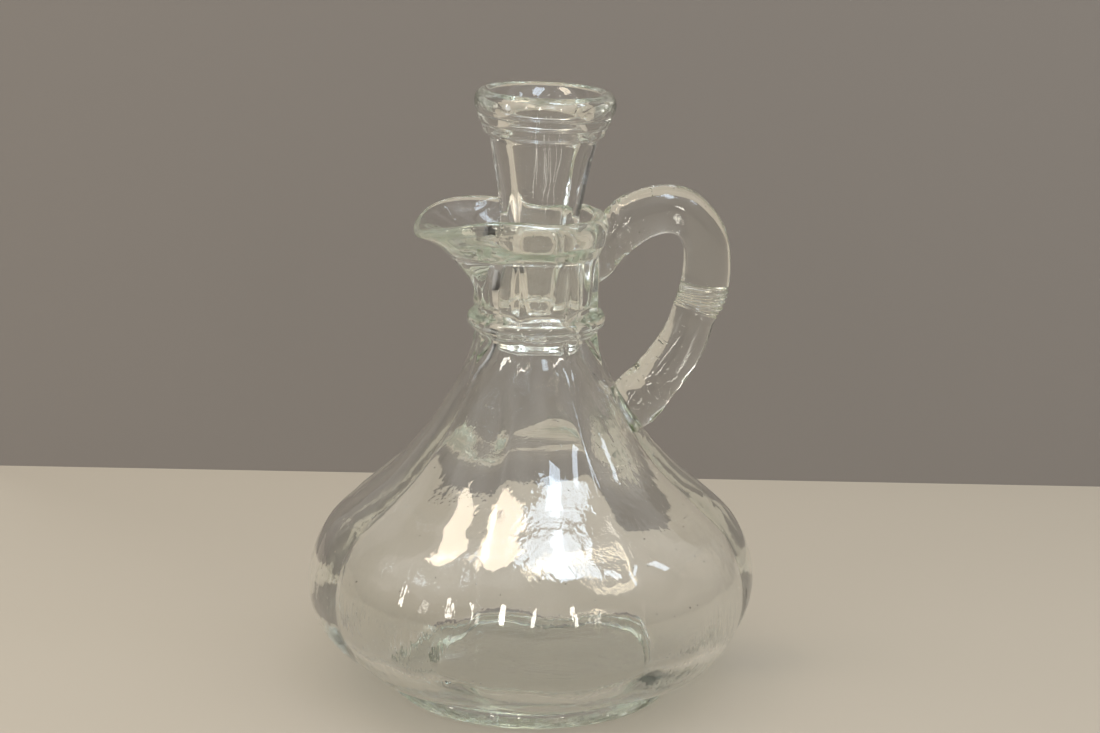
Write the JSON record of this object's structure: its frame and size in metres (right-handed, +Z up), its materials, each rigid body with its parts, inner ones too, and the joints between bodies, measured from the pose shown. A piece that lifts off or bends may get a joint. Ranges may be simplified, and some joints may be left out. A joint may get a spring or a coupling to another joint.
{
  "type": "glass cruet with stopper",
  "caption": "Clear pressed-glass cruet: onion-shaped panelled bottle on a round foot, ringed neck, pouring lip, looped rod handle and a loose hollow stopper that lifts out.",
  "frame": {"origin": "centre of the foot on the table", "axes": "+Z up along the bottle's axis, handle on +X, pouring lip on -X; the shape is symmetric across the XZ plane"},
  "size_m": [0.1108, 0.1108, 0.1485],
  "materials": {
    "bottle_glass": "clear pressed glass with a faint green cast in the thick parts",
    "handle_glass": "clear solid glass rod with a faint yellow-green cast at its edges",
    "stopper_glass": "clear pressed glass"
  },
  "bodies": {
    "cruet": {"bottle": "bottle_glass", "handle": "handle_glass"},
    "stopper": {"stopper": "stopper_glass"}
  },
  "joints": [
    {"name": "stopper_lift", "type": "slide", "parent": "cruet", "child": "stopper", "axis": [0, 0, 1], "range_m": [0, 0.05]}
  ]
}
